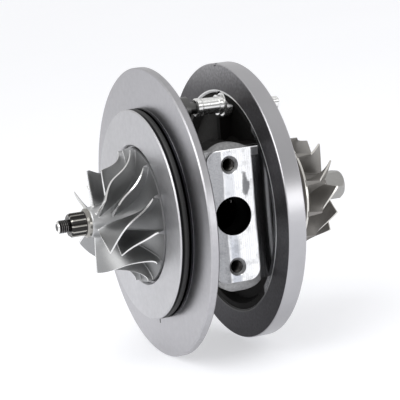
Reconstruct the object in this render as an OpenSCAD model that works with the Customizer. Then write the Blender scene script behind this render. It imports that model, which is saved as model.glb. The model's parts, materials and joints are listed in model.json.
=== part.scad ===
// Turbocharger cartridge: the centre housing with its rotor, backplate and vane crank.
// X is the rotor axis, with the compressor at -X and the turbine at +X, and Z is up.
// The origin is on the rotor axis, in the seating face of the backplate's rim.
// The oil drain pad faces -Y and the oil inlet boss faces +Y.

/* [Backplate] */
// Radius of the backplate's rim
plate_r = 60; // [56:0.5:66]
// Thickness of the backplate's rim
plate_t = 3.5; // [3:0.1:5]
// Radius of the pilot boss on the front of the backplate
boss_r = 43.5; // [41:0.5:48]
// Height of the pilot boss above the seating face
boss_h = 5.6; // [5.4:0.1:8]
// Width of the land in front of the O-ring groove
groove_land = 1.1; // [0.8:0.1:1.6]
// Width of the O-ring groove
groove_w = 3.5; // [3.2:0.1:3.6]
// Thickness of the O-ring on the pilot boss
boss_ring_d = 2.62; // [2.4:0.02:2.8]
// How far that O-ring stands out of its groove
boss_ring_proud = 0; // [0:0.02:0.04]
// Depth of the spigot behind the backplate
spigot_h = 1.1; // [0.8:0.1:1.6]
// Radius of the circle of screws that hold the backplate
screw_circle_r = 31.5; // [30.5:0.25:31.5]
// Angle of each screw from the vertical
screw_angle = 25; // [20:1:28]
// Radius of a backplate screw's shank
screw_r = 2.5; // [2:0.1:2.8]
// Radius of a backplate screw's head
screw_head_r = 4; // [3.5:0.1:4.2]
// Height of a backplate screw's head
screw_head_h = 3.4; // [3:0.1:5]
// How far a screw reaches into the backplate
screw_reach = 5; // [4:0.25:6]

/* [Compressor wheel] */
// Radius of the wheel at the blades' outlet
wheel_r = 27.8; // [26:0.2:30]
// Radius of the wheel at the blades' inlet
inducer_r = 21; // [19:0.25:22]
// Length from the front of the wheel's rim to its nose
wheel_len = 21.8; // [21:0.2:26]
// Radius of the wheel's nose
hub_nose_r = 6.4; // [6.2:0.1:8]
// Height of the blades at their outlet
outlet_h = 2; // [1.5:0.1:3.5]
// How far behind the nose the full blades start
inlet_setback = 1.7; // [1.2:0.1:3]
// Axial length of the curved part of the blades' tip line
shroud_arc = 11; // [8:0.5:14]
// Number of full blades, and of splitter blades between them
full_blades = 6; // [5:1:7]
// Turn of a full blade from outlet to inlet, in degrees
blade_wrap = 53; // [40:1:60]
// Share of a full blade's axial length that a splitter has
splitter_share = 0.71; // [0.6:0.01:0.8]
// Direction of the first full blade's outlet, in degrees from +Y
blade_phase = 97.5; // [0:0.5:120]
// Thickness of a compressor blade at its tip
blade_tip_t = 0.7; // [0.5:0.05:1]
// Thickness of a compressor blade at its root
blade_root_t = 1.7; // [1.4:0.1:2.2]
// Thickness of the wheel's rim
wheel_rim_t = 1.4; // [1:0.1:2]
// How far the wheel's hub stands behind its rim
wheel_back_h = 2.2; // [1.6:0.1:2.6]
// How far the wheel's rim stands in front of the pilot boss
wheel_proud = 0.4; // [0.2:0.1:0.8]
// Running gap between the wheel and the backplate
wheel_gap = 0.5; // [0.4:0.05:0.8]

/* [Turbine wheel] */
// Radius of the turbine at its blades' inlet
turbine_r = 23.2; // [21:0.2:25]
// Radius of the turbine's blade tips at their outlet
turbine_out_r = 20.3; // [18:0.2:20.6]
// Height of the turbine's blades at their inlet
turbine_tip_h = 6.4; // [5:0.2:8]
// Thickness of the turbine's back disc at its rim
turbine_rim_t = 0.9; // [0.7:0.1:1.4]
// Axial length of the curve of the turbine's blade tips
turbine_tip_len = 9.1; // [8:0.1:11]
// Radius of the turbine's hub at the blades' outlet
turbine_hub_r = 7.2; // [6.8:0.1:8]
// Length of the hexagonal nose beyond the blades
turbine_nose_len = 9.5; // [7:0.5:11]
// Radius of the hexagonal nose over its corners
turbine_nose_r = 6.6; // [6:0.1:6.7]
// Number of turbine blades
turbine_blades = 11; // [9:1:12]
// Turn of a turbine blade from inlet to outlet, in degrees
turbine_wrap = 25; // [15:1:30]
// Direction of the first turbine blade's inlet, in degrees from +Y
turbine_phase = 132; // [100:0.5:140]
// Thickness of a turbine blade at its tip
turbine_tip_t = 0.8; // [0.6:0.05:1.2]
// Thickness of a turbine blade at its root
turbine_root_t = 2; // [1.6:0.1:2.4]
// Gap between the turbine's back and the heat shield
turbine_gap = 1.7; // [1.2:0.1:2.5]

/* [Rotor shaft] */
// Radius of the shaft in its bearings
journal_r = 4; // [3.6:0.1:4.2]
// Radius of the shaft inside the compressor wheel
nose_r = 2.75; // [2.6:0.05:3]
// Radius of the shaft's threaded end
thread_r = 2.4; // [2.2:0.05:2.5]
// How far the threaded end stands out of the nut
thread_out = 5; // [3:0.25:7]
// Radius of the shaft's hub inside the turbine seal
seal_hub_r = 8; // [7.6:0.1:8.6]
// Width of the compressor nut across its flats
nut_af = 8.7; // [8:0.1:9.4]
// Height of the nut's twelve-point part
nut_h = 5.9; // [5:0.1:8]
// Radius of the nut's flange
nut_flange_r = 6; // [5.6:0.1:6.2]
// Height of the nut's flange
nut_flange_h = 2.4; // [1.6:0.1:3]

/* [Bearings and seals] */
// Outer radius of a journal bearing
bearing_r = 6.5; // [6.2:0.1:7]
// Length of a journal bearing
bearing_len = 7; // [6:0.1:7.4]
// Radial oil clearance between the shaft and a journal bearing
shaft_clear = 0.03; // [0.02:0.01:0.06]
// Radial oil clearance between a journal bearing and the housing
bearing_clear = 0.05; // [0.03:0.01:0.08]
// Thickness of a bearing retaining ring
snap_t = 0.8; // [0.6:0.05:1]
// Axial clearance beside a journal bearing
snap_gap = 0.2; // [0.15:0.05:0.3]
// Outer radius of the thrust bearing
thrust_r = 19; // [17.5:0.25:19.5]
// Thickness of the thrust bearing
thrust_t = 3.5; // [3:0.1:4.2]
// Axial oil clearance on each side of the thrust bearing
thrust_gap = 0.2; // [0.15:0.05:0.3]
// Radius of the thrust faces on the rotor
thrust_face_r = 9.5; // [9:0.1:9.9]
// Thickness of the thrust faces on the rotor
thrust_face_t = 1.5; // [1.2:0.1:1.6]
// Radius of the pins that locate the thrust bearing
thrust_pin_r = 1.5; // [1.2:0.1:1.8]
// Thickness of the oil deflector
deflector_t = 0.8; // [0.5:0.1:1]
// Radius of the oil flinger's sleeve in the compressor seal
flinger_r = 7.5; // [7.2:0.1:7.8]
// Radial running gap of the two shaft seals
seal_gap = 0.3; // [0.3:0.02:0.4]
// Width of a piston ring
piston_ring_w = 1.2; // [1:0.05:1.4]
// Radial thickness of a piston ring
piston_ring_t = 1.1; // [0.9:0.05:1.2]
// Thickness of the O-ring between the backplate and the housing
face_ring_d = 1.78; // [1.5:0.02:2]

/* [Bearing housing] */
// Distance from the seating face to the front of the turbine flange
flange_x = 34.2; // [33:0.2:35]
// Thickness of the turbine flange
flange_t = 7.9; // [7.5:0.1:9]
// Radius of the turbine flange
flange_r = 58; // [56:0.5:62]
// Width of the machined band outside the cast recess in the flange
flange_band = 11.5; // [9:0.25:11.5]
// Depth of the cast recess in the flange
recess_depth = 3.6; // [3:0.1:4]
// Radius of the cast barrel between the flanges
barrel_r = 26; // [25:0.25:26.5]
// Radius of the flange that carries the backplate
front_r = 36.5; // [36:0.25:39]
// Thickness of the flange that carries the backplate
front_t = 6; // [5:0.25:6]
// Radius of the hub behind the turbine flange
tail_r = 26; // [25.5:0.25:27]
// Length of that hub's wide part
tail_len = 4; // [3:0.25:5]
// Radius of the hub where the turbine seal is
tail_nose_r = 13; // [12:0.25:14]
// Length of the drain cavity between the bearings
cavity_len = 13; // [12:0.25:14]
// Radius of the drain cavity
cavity_r = 14; // [12:0.25:14.5]
// Length of the oil chamber behind the turbine bearing
sump_len = 6.4; // [5.5:0.1:7]
// Length of the turbine seal's bore
seal_len = 5.4; // [5:0.1:6.5]

/* [Oil connections] */
// Distance from the rotor axis to the face of the drain pad
pad_y = 36; // [35:0.25:38]
// Distance from the seating face to the drain hole
drain_x = 21; // [20.5:0.25:21.5]
// Radius of the drain hole
drain_r = 7.8; // [7:0.1:8]
// Distance between the two threaded holes of the drain pad
drain_pitch = 41.2; // [40:0.2:42]
// Core radius of the pad's threaded holes
pad_thread_r = 2.55; // [2.1:0.05:2.6]
// Depth of the pad's threaded holes
pad_thread_h = 12; // [9:0.5:12]
// Width of the drain pad's machined face
pad_w = 19.6; // [19:0.2:20]
// Width of the drain pad's casting
cast_w = 24; // [23:0.25:24.5]
// Height of the drain pad's casting
pad_h = 60.4; // [59:0.2:62]
// Radius of the round edges of the pad's casting
pad_edge = 3.4; // [2.6:0.1:4]
// Distance from the seating face to the oil inlet
inlet_x = 17; // [16.6:0.2:18]
// Distance from the rotor axis to the face of the oil inlet boss
inlet_y = 37; // [36:0.25:40]
// Core radius of the oil inlet's thread
inlet_r = 5.1; // [4.4:0.05:5.3]
// Depth of the oil inlet's thread
inlet_h = 13; // [11:0.5:14]
// Radius of the oil inlet boss
inlet_boss_r = 9; // [8.5:0.1:9.5]

/* [Heat shield] */
// Thickness of the heat shield's sheet
shield_t = 0.8; // [0.6:0.1:1]
// Radius of the heat shield's front
shield_front_r = 18; // [17:0.25:19]

/* [Vane crank] */
// Sideways place of the crank's axis
crank_y = -2; // [-3:0.25:0]
// Distance of the crank's axis inside the flange's rim
crank_inset = 17; // [16.8:0.1:17.6]
// Radius of the crank's shaft
crank_r = 2.5; // [2.2:0.1:2.7]
// Radial running clearance of the crank's shaft
crank_clear = 0.04; // [0.02:0.01:0.06]
// Radius of the crank bush's barrel
bush_r = 3.5; // [3.3:0.05:3.6]
// Radius of the crank bush's collar
bush_collar_r = 5.2; // [5:0.05:5.4]
// Length of the crank bush in front of its seat
bush_len = 14.9; // [13.4:0.1:15.4]
// Height of the boss that the crank bush is seated on
bush_boss_h = 0.2; // [0.2:0.1:1]
// Gap between the crank bush and the outer lever
lever_gap = 3.6; // [3:0.1:4]
// Length of the outer lever between its two axes
lever_len = 16.5; // [14:0.25:17]
// Thickness of the outer lever
lever_t = 3; // [2.5:0.1:3.6]
// Radius of the outer lever's hub
lever_hub_r = 5; // [4.6:0.1:5.4]
// Radius of the pin at the outer lever's end
lever_pin_r = 2.5; // [2:0.1:2.6]
// Length of the pin in front of the outer lever
lever_pin_len = 6; // [5:0.1:6.2]
// Length of the inner arm from the crank's axis to its finger
arm_len = 9; // [8:0.25:10]
// Thickness of the inner arm
arm_t = 3; // [2.5:0.1:4]
// Radius of the finger on the inner arm
finger_r = 2; // [1.6:0.1:2.4]
// Height of the finger on the inner arm
finger_h = 3; // [2:0.25:5]
// Angle of the turbine housing's locating pin from the vertical
locator_angle = 34.5; // [28:0.5:38]
// Distance of the locating pin inside the flange's rim
locator_inset = 6.7; // [6:0.1:8]
// Radius of the locating pin
locator_r = 2.4; // [2:0.1:2.6]
// How far the locating pin stands out of the flange
locator_out = 5.5; // [4:0.25:8]

/* [Hidden] */
$fn = 96;

// Clearance of pieces that are pressed or bolted together, and overlap of joined shapes
fit_gap = 0.02;
sink = 0.5;
// Small chamfer on machined edges
edge = 0.5;
// Room round a screw's head in its spot face, and up to the castings beside it
head_gap = 0.4;
head_room = 0.7;

// Stations of the compressor wheel along the rotor axis
rim_front = -boss_h - wheel_proud;
rim_back = rim_front + wheel_rim_t;
wheel_back = rim_back + wheel_back_h;
wheel_nose = rim_front - wheel_len;
outlet_x = rim_front - outlet_h;
inlet_tip_x = wheel_nose + inlet_setback;
inlet_root_x = inlet_tip_x + 0.6;
wheel_back_r = 14;

// Stations of the fixed pieces, from the backplate to the turbine seal
deflector_x = plate_t + spigot_h;
thrust_x = deflector_x + deflector_t;
thrust_end = thrust_x + thrust_t;
collar_end = thrust_end + thrust_gap + thrust_face_t;
well_gap = 0.8;
land_edge = 0.8;
land1_x = collar_end + well_gap;
bearing1_x = land1_x + land_edge + snap_t + snap_gap;
land1_end = bearing1_x + bearing_len + snap_gap + snap_t + land_edge;
land2_x = land1_end + cavity_len;
bearing2_x = land2_x + land_edge + snap_t + snap_gap;
land2_end = bearing2_x + bearing_len + snap_gap + snap_t + land_edge;
seal_x = land2_end + sump_len;
tail_end = seal_x + seal_len;
flange_end = flange_x + flange_t;
recess_r = flange_r - flange_band;
crank_z = flange_r - crank_inset;
locator_y = -(flange_r - locator_inset) * sin(locator_angle);
locator_z = (flange_r - locator_inset) * cos(locator_angle);
recess_x = flange_x + recess_depth;
tail_x = flange_end + tail_len;
shield_x = tail_end + 0.5;
turbine_back = shield_x + shield_t + turbine_gap;

// Radii of the bores
bore_r = bearing_r + bearing_clear;
snap_groove_r = bearing_r + 0.8;
snap_bore_r = bearing_r - 1.1;
plate_bore_r = flinger_r + seal_gap;
seal_bore_r = seal_hub_r + seal_gap;
thrust_pocket_r = thrust_r + 0.2;
well_r = thrust_face_r + 1.5;
deflector_bore_r = thrust_face_r + 0.7;
sump_r = seal_bore_r + 2.7;
pocket_r = wheel_r + wheel_gap + 0.1;

// Turbine stations
turbine_rim = turbine_back + turbine_rim_t;
turbine_tip_x = turbine_rim + turbine_tip_h;
turbine_out_x = turbine_tip_x + turbine_tip_len;
turbine_hub_x = turbine_out_x + 1.7;
turbine_end = turbine_hub_x + turbine_nose_len;

// Rotor stations
nut_x = wheel_nose - nut_flange_h;
thread_end = nut_x - nut_h - thread_out;
flinger_end = thrust_x - thrust_gap;

// Oil ways
chamber_y = 22;
chamber_top = 9;
chamber_half_w = 9;
chamber_half_h = 13;
gallery_y = 17.5;

// Crank stations
arm_gap = 0.5;
bush_seat = recess_x - bush_boss_h;
bush_x = bush_seat - bush_len;
lever_x = bush_x - lever_gap - lever_t;
arm_x = flange_end + arm_gap;
arm_end_r = finger_r + 1;

// A solid turned about the rotor axis from points of radius and station
module turned(points, seam = 0) {
  rotate([0, 90, 0])
    rotate([0, 0, seam])
      rotate_extrude()
        polygon(points);
}

// The seams of the two rims lie beside the lowest line, so that meshed rims stand on a flat facet
rim_seam = 1.28;

// A ring about the rotor axis
module ring(inner, outer, from, to) {
  turned([[inner, from], [outer, from], [outer, to], [inner, to]]);
}

// A round bar along X
module bar_x(r, from, to, y = 0, z = 0) {
  translate([from, y, z])
    rotate([0, 90, 0])
      cylinder(r = r, h = to - from);
}

// A round bar along Y
module bar_y(r, from, to, x = 0, z = 0) {
  translate([x, from, z])
    rotate([-90, 0, 0])
      cylinder(r = r, h = to - from);
}

// A rectangle with round corners, centred on the origin
module round_rect(w, h, r) {
  square([w - 2 * r, h], center = true);
  square([w, h - 2 * r], center = true);
  for (sx = [-1, 1], sy = [-1, 1])
    translate([sx * (w / 2 - r), sy * (h / 2 - r)])
      circle(r = r);
}

// A slot that splits a ring, pointing up
module ring_split(width, from, to, reach) {
  translate([from - 1, -width / 2, 0])
    cube([to - from + 2, width, reach]);
}

// The places of the backplate's screws, as angles from +Y
screw_angles = [for (up = [90, 270], side = [-1, 1]) up + side * screw_angle];

// Puts its children on the screw circle, at each screw
module at_screws() {
  for (a = screw_angles)
    translate([0, screw_circle_r * cos(a), screw_circle_r * sin(a)])
      children();
}

// Puts its children at the two pins of the thrust bearing
thrust_pin_z = 15;
module at_thrust_pins() {
  for (side = [-1, 1])
    translate([0, 0, side * thrust_pin_z])
      children();
}

// Puts its children on the crank's axis
module at_crank() {
  translate([0, crank_y, crank_z])
    children();
}

// Blades

// A point on the wheel: p is station and radius, and a is an angle from +Y
function on_wheel(p, a) = [p[0], p[1] * cos(a), p[1] * sin(a)];

// A quarter ellipse from a radial start to an axial end; u runs from 0 to 1
function bell(start, end, u) = [
  start[0] + (end[0] - start[0]) * (1 - cos(90 * u)),
  start[1] + (end[1] - start[1]) * sin(90 * u)
];

// A blade's middle surface: u runs along the flow and s from hub to tip
function blade_mid(hub, tip, turn, u, s) =
  on_wheel(hub(u) * (1 - s) + tip(u) * s, turn(u));

// The middle surface's normal
function blade_normal(hub, tip, turn, u, s) =
  let (
    d = 0.01,
    along = blade_mid(hub, tip, turn, u + d, s) - blade_mid(hub, tip, turn, u - d, s),
    across = blade_mid(hub, tip, turn, u, s + d) - blade_mid(hub, tip, turn, u, s - d),
    n = cross(along, across)
  ) n / norm(n);

// One blade as a solid between its two faces, with its root sunk into the hub
blade_steps = 12;
blade_rows = 3;
root_sink = 0.07;
module blade(hub, tip, turn, root_t, tip_t, last_u = 1) {
  columns = blade_rows + 1;
  face = (blade_steps + 1) * columns;
  function vertex(i, j, side) =
    let (
      u = last_u * i / blade_steps,
      s = (1 + root_sink) * j / blade_rows - root_sink,
      half = (root_t + (tip_t - root_t) * max(s, 0)) / 2
    ) blade_mid(hub, tip, turn, u, s) + side * half * blade_normal(hub, tip, turn, u, s);
  points = [
    for (side = [-1, 1], i = [0:blade_steps], j = [0:blade_rows]) vertex(i, j, side)
  ];
  function low(i, j) = i * columns + j;
  function high(i, j) = face + low(i, j);
  quads = concat(
    [for (i = [0:blade_steps - 1], j = [0:blade_rows - 1])
      [low(i, j), low(i, j + 1), low(i + 1, j + 1), low(i + 1, j)]],
    [for (i = [0:blade_steps - 1], j = [0:blade_rows - 1])
      [high(i, j), high(i + 1, j), high(i + 1, j + 1), high(i, j + 1)]],
    [for (i = [0:blade_steps - 1])
      [low(i, 0), low(i + 1, 0), high(i + 1, 0), high(i, 0)]],
    [for (i = [0:blade_steps - 1])
      [low(i, blade_rows), high(i, blade_rows), high(i + 1, blade_rows), low(i + 1, blade_rows)]],
    [for (j = [0:blade_rows - 1])
      [low(0, j), high(0, j), high(0, j + 1), low(0, j + 1)]],
    [for (j = [0:blade_rows - 1])
      [low(blade_steps, j), low(blade_steps, j + 1), high(blade_steps, j + 1), high(blade_steps, j)]]
  );
  triangles = [for (q = quads) each [[q[0], q[2], q[1]], [q[0], q[3], q[2]]]];
  polyhedron(points, triangles, convexity = 4);
}

// Compressor blade lines: u is 0 at the outlet and 1 at the inlet
wheel_hub_line = function(u) bell([rim_front, wheel_r], [inlet_root_x, hub_nose_r], u);
wheel_tip_line = function(u)
  let (
    x = outlet_x + (inlet_tip_x - outlet_x) * pow(max(u, 0), 1.6),
    t = min(1, (outlet_x - x) / shroud_arc)
  ) [x, wheel_r - (wheel_r - inducer_r) * sqrt(1 - (1 - t) * (1 - t))];
// The turn follows the axial place of the tip, steep at the inlet and at the outlet
wheel_turn = function(u)
  let (v = pow(max(u, 0), 1.6)) blade_wrap * (1.1 * v - 1.38 * v * v + 1.28 * v * v * v);

// Turbine blade lines: u is 0 at the inlet and 1 at the outlet
turbine_hub_line = function(u)
  bell([turbine_rim, turbine_r], [turbine_hub_x, turbine_hub_r], u);
turbine_tip_line = function(u)
  bell([turbine_tip_x, turbine_r], [turbine_out_x, turbine_out_r], u);
turbine_turn = function(u) -turbine_wrap * max(u, 0) * max(u, 0);

// A line of the hub as points of radius and station
hub_steps = 14;
function line_points(line) = [
  for (i = [0:hub_steps]) let (p = line(i / hub_steps)) [p[1], p[0]]
];

// Bearing housing

// The casting's turned outside
module housing_outside() {
  fillet = 2;
  front_fillet = 1;
  band_r = recess_r - 3;
  turned([
    [0, plate_t], [front_r - edge, plate_t], [front_r, plate_t + edge],
    [front_r, plate_t + front_t], [barrel_r + front_fillet, plate_t + front_t],
    [barrel_r, plate_t + front_t + front_fillet], [barrel_r, recess_x - 2 * fillet],
    [barrel_r + fillet, recess_x], [band_r - fillet, recess_x],
    [band_r, flange_x + edge], [recess_r - edge, flange_x + edge],
    [recess_r, flange_x], [flange_r - edge, flange_x], [flange_r, flange_x + edge],
    [flange_r, flange_end - edge], [flange_r - edge, flange_end],
    [tail_r, flange_end], [tail_r, tail_x], [shield_seat_r, tail_x],
    [tail_nose_r, seal_x], [tail_nose_r, tail_end], [0, tail_end]
  ], rim_seam);
}

// The shaft bore with its lands, cavities and thrust pocket
module housing_inside() {
  turned([
    [0, plate_t - 1], [thrust_pocket_r, plate_t - 1], [thrust_pocket_r, thrust_end],
    [well_r, thrust_end], [well_r, land1_x], [bore_r, land1_x], [bore_r, land1_end],
    [cavity_r, land1_end], [cavity_r, land2_x], [bore_r, land2_x], [bore_r, land2_end],
    [sump_r, land2_end], [sump_r, seal_x], [seal_bore_r, seal_x],
    [seal_bore_r, tail_end + 1], [0, tail_end + 1]
  ]);
}

// The axial places of the bearing retaining rings
snap_places = [
  bearing1_x - snap_gap - snap_t, bearing1_x + bearing_len + snap_gap,
  bearing2_x - snap_gap - snap_t, bearing2_x + bearing_len + snap_gap
];

// The drain pad's casting with round ends, and the raised machined face on it
pad_step = 0.7;
cast_shift = 1;
cast_drop = 1;
cast_corner = cast_w / 2 - 0.4;
face_corner = 5;
module drain_pad() {
  // The casting stays clear of the backplate's screws
  base_y = screw_circle_r * sin(screw_angle) + screw_head_r + head_room;
  face_h = pad_h - 2 * pad_edge;
  cast_x = drain_x + cast_shift;
  intersection() {
    translate([cast_x, -base_y, -cast_drop])
      rotate([90, 0, 0])
        linear_extrude(pad_y - pad_step - base_y)
          round_rect(cast_w, pad_h, cast_corner);
    translate([cast_x - cast_w / 2, 0, -cast_drop])
      rotate([90, 0, 90])
        linear_extrude(cast_w)
          round_rect(2 * (pad_y - pad_step), pad_h, pad_edge);
  }
  // The face, whose upper edge runs on almost to the flange
  rail_h = 3.5;
  rail_gap = 0.4;
  translate([drain_x, -base_y, 0])
    rotate([90, 0, 0])
      linear_extrude(pad_y - base_y) {
        round_rect(pad_w, face_h, face_corner);
        translate([0, face_h / 2 - rail_h])
          square([flange_x - rail_gap - drain_x, rail_h]);
      }
  // The necks that join the casting to both flanges, with a fillet in the recess
  neck_step = 0.2;
  neck_y = pad_y - pad_step - neck_step;
  neck_x = plate_t + front_t - sink;
  neck_fillet = 2.5;
  translate([neck_x, -neck_y, -face_h / 2])
    cube([recess_x - neck_x, neck_y - base_y, face_h]);
  translate([recess_x - neck_fillet, -neck_y - neck_fillet, -face_h / 2])
    difference() {
      cube([neck_fillet + sink, neck_fillet + sink, face_h]);
      translate([0, 0, -1])
        cylinder(r = neck_fillet, h = face_h + 2);
    }
}

// The boss of the oil inlet and the block it stands on, away from the drain
module inlet_boss() {
  block_drop = 3.5;
  block_h = 2 * (screw_circle_r * cos(screw_angle) - screw_head_r - head_room);
  block_r = 4;
  translate([drain_x, 0, 0])
    rotate([-90, 0, 0])
      linear_extrude(inlet_y - block_drop)
        round_rect(pad_w, block_h, block_r);
  bar_y(inlet_boss_r, 0, inlet_y - edge, inlet_x);
  translate([inlet_x, inlet_y - edge, 0])
    rotate([-90, 0, 0])
      cylinder(r1 = inlet_boss_r, r2 = inlet_boss_r - edge, h = edge);
}

// The web that stiffens the flange under the crank bush, and the bush's boss
module crank_web() {
  web_t = 3;
  web_len = 5;
  translate([recess_x - web_len, crank_y - web_t / 2, 0])
    cube([web_len + sink, web_t, crank_z - bush_collar_r]);
  at_crank()
    bar_x(bush_collar_r + 0.2, bush_seat, recess_x + sink);
}

module drain_holes() {
  bar_y(drain_r, -pad_y - 1, -chamber_y + sink, drain_x);
  translate([drain_x - chamber_half_w, -chamber_y, -chamber_half_h])
    cube([land2_x - drain_x + chamber_half_w, chamber_y - chamber_top, 2 * chamber_half_h]);
  thread_chamfer = 1.2;
  for (side = [-1, 1]) {
    bar_y(pad_thread_r, -pad_y - 1, -pad_y + pad_thread_h, drain_x, side * drain_pitch / 2);
    translate([drain_x, -pad_y - fit_gap, side * drain_pitch / 2])
      rotate([-90, 0, 0])
        cylinder(r1 = pad_thread_r + thread_chamfer, r2 = pad_thread_r, h = thread_chamfer);
  }
  // Ways from the thrust bearing and from the turbine end into the drain chamber
  way_r = 2.5;
  bar_x(way_r, thrust_end - sink, seal_x - sink, -well_r - sink);
}

module inlet_holes() {
  way_r = 1.6;
  bar_y(inlet_r, inlet_y - inlet_h, inlet_y + 1, inlet_x);
  bar_y(way_r, gallery_y, inlet_y - inlet_h + sink, inlet_x);
  bar_x(way_r, bearing1_x, bearing2_x + bearing_len, gallery_y);
  for (x = [bearing1_x, bearing2_x])
    bar_y(way_r / 2, 0, gallery_y, x + bearing_len / 2);
}

shield_seat_r = tail_r - 5;
notch_r = 1.2;
locator_depth = 5;
locator_press = 0.2;
module bearing_housing() {
  color("dimgray")
    difference() {
      union() {
        housing_outside();
        drain_pad();
        inlet_boss();
        crank_web();
      }
      housing_inside();
      for (x = snap_places)
        ring(0, snap_groove_r, x - fit_gap, x + snap_t + fit_gap);
      ring(face_ring_r - face_groove_w / 2, face_ring_r + face_groove_w / 2,
        plate_t - 1, plate_t + face_ring_d + fit_gap);
      drain_holes();
      inlet_holes();
      at_screws() {
        bar_x(screw_r + 0.2, plate_t - 1, plate_t + front_t + 1);
        bar_x(screw_head_r + head_gap, plate_t + front_t + fit_gap,
          plate_t + front_t + screw_head_h + 1);
      }
      at_thrust_pins()
        bar_x(thrust_pin_r + fit_gap, thrust_end - 1, thrust_end + thrust_pin_depth + fit_gap);
      at_crank() {
        bar_x(bush_collar_r + 0.4, flange_x - 1, bush_seat);
        bar_x(bush_r + fit_gap, bush_seat - 1, flange_end + 1);
        // Room for the inner arm's swing beside the hub
        bar_x(arm_len + arm_end_r + arm_gap, flange_end + fit_gap, tail_x + 1);
      }
      // The notch that marks the top of the flange
      bar_x(notch_r, flange_x - 1, flange_x + notch_r, 0, flange_r);
      bar_x(locator_r + locator_press + fit_gap, flange_end - locator_depth, flange_end + 1,
        locator_y, locator_z);
    }
}

// Backplate and its pieces

boss_groove_r = boss_r + boss_ring_proud - boss_ring_d;
groove_front = -boss_h + groove_land;
module compressor_backplate() {
  spigot_wall = 6;
  pocket_edge = 0.7;
  color("lightgray")
    difference() {
      turned([
        [plate_bore_r, wheel_back + wheel_gap], [wheel_back_r, wheel_back + wheel_gap],
        [pocket_r, rim_back + wheel_gap], [pocket_r, -boss_h + pocket_edge],
        [pocket_r + pocket_edge, -boss_h], [boss_r - edge, -boss_h], [boss_r, -boss_h + edge],
        [boss_r, groove_front], [boss_groove_r, groove_front],
        [boss_groove_r, groove_front + groove_w], [boss_r, groove_front + groove_w],
        [boss_r, 0], [plate_r - edge, 0], [plate_r, edge], [plate_r, plate_t - edge],
        [plate_r - edge, plate_t], [thrust_r, plate_t], [thrust_r, deflector_x],
        [thrust_r - spigot_wall, deflector_x], [thrust_r - spigot_wall, plate_t],
        [plate_bore_r, plate_t]
      ], rim_seam);
      at_screws()
        bar_x(screw_r + fit_gap, plate_t - screw_reach - 0.6, plate_t + 1);
    }
}

module o_ring(middle_r, d, x) {
  rotate([0, 90, 0])
    rotate_extrude()
      translate([middle_r, x])
        circle(d = d, $fn = 32);
}

module backplate_o_ring() {
  color("black")
    o_ring(boss_groove_r + boss_ring_d / 2 + fit_gap, boss_ring_d, groove_front + groove_w / 2);
}

face_ring_r = thrust_r + 4;
face_groove_w = face_ring_d + 0.6;
module housing_o_ring() {
  color("black")
    o_ring(face_ring_r, face_ring_d, plate_t + face_ring_d / 2 + fit_gap / 2);
}

module backplate_screws() {
  color("darkgray")
    at_screws() {
      bar_x(screw_r, plate_t - screw_reach, plate_t + front_t + fit_gap);
      difference() {
        translate([plate_t + front_t, 0, 0])
          rotate([0, 90, 0])
            cylinder(r = screw_head_r, h = screw_head_h, $fn = 6);
        translate([plate_t + front_t + screw_head_h - 1, 0, 0])
          rotate([0, 90, 0])
            cylinder(r = screw_head_r / 2, h = 2);
      }
    }
}

module oil_deflector() {
  tongue_w = 14;
  color("silver")
    difference() {
      ring(deflector_bore_r, thrust_r, deflector_x, thrust_x);
      // The opening that lets oil fall towards the drain
      translate([deflector_x - 1, -thrust_r - 1, -tongue_w / 2])
        cube([deflector_t + 2, thrust_r - deflector_bore_r - 1, tongue_w]);
      at_thrust_pins()
        bar_x(thrust_pin_r + 0.2, deflector_x - 1, thrust_x + 1);
    }
}

thrust_pin_depth = 3;
module thrust_bearing() {
  color("goldenrod")
    difference() {
      ring(journal_r + 1.2, thrust_r, thrust_x, thrust_end);
      // The drain gap at the side of the oil drain
      translate([thrust_x - 1, -thrust_r - 1, -5])
        cube([thrust_t + 2, thrust_r - thrust_face_r, 10]);
      // Oil grooves on both thrust faces
      for (a = [30:120:270])
        rotate([a, 0, 0])
          for (x = [thrust_x, thrust_end])
            translate([x - 0.4, journal_r, -0.8])
              cube([0.8, thrust_face_r - journal_r - 1, 1.6]);
      at_thrust_pins()
        bar_x(thrust_pin_r + fit_gap, thrust_x - 1, thrust_end + 1);
    }
}

module thrust_bearing_pins() {
  color("gray")
    at_thrust_pins()
      bar_x(thrust_pin_r, thrust_x, thrust_end + thrust_pin_depth);
}

module bearing_retaining_rings() {
  color("darkslategray")
    for (x = snap_places)
      difference() {
        ring(snap_bore_r, snap_groove_r - fit_gap, x, x + snap_t);
        ring_split(3, x, x + snap_t, snap_groove_r + 1);
      }
}

// Piston ring grooves stand in the middle of each seal
ring_side_gap = 0.15;
compressor_ring_x = plate_t - 2.8;
turbine_ring_x = seal_x + 2;
module piston_ring(bore, x) {
  difference() {
    ring(bore - fit_gap - piston_ring_t, bore - fit_gap, x, x + piston_ring_w);
    ring_split(0.6, x, x + piston_ring_w, bore + 1);
  }
}

module compressor_seal_ring() {
  color("dimgray")
    piston_ring(plate_bore_r, compressor_ring_x);
}

module turbine_seal_ring() {
  color("dimgray")
    piston_ring(seal_bore_r, turbine_ring_x);
}

module ring_groove(bore, x) {
  depth_gap = 0.35;
  ring(bore - piston_ring_t - depth_gap, bore + 1, x - ring_side_gap, x + piston_ring_w + ring_side_gap);
}

module heat_shield() {
  lip_r = tail_r - 0.2;
  wall_r = shield_seat_r + 1;
  hole_r = seal_hub_r + 1.5;
  color("tan")
    turned([
      [wall_r, tail_x], [lip_r, tail_x], [lip_r, tail_x + shield_t],
      [wall_r + shield_t, tail_x + shield_t], [shield_front_r, shield_x + shield_t],
      [hole_r, shield_x + shield_t], [hole_r, shield_x], [shield_front_r - shield_t, shield_x]
    ]);
}

// Rotor

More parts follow.
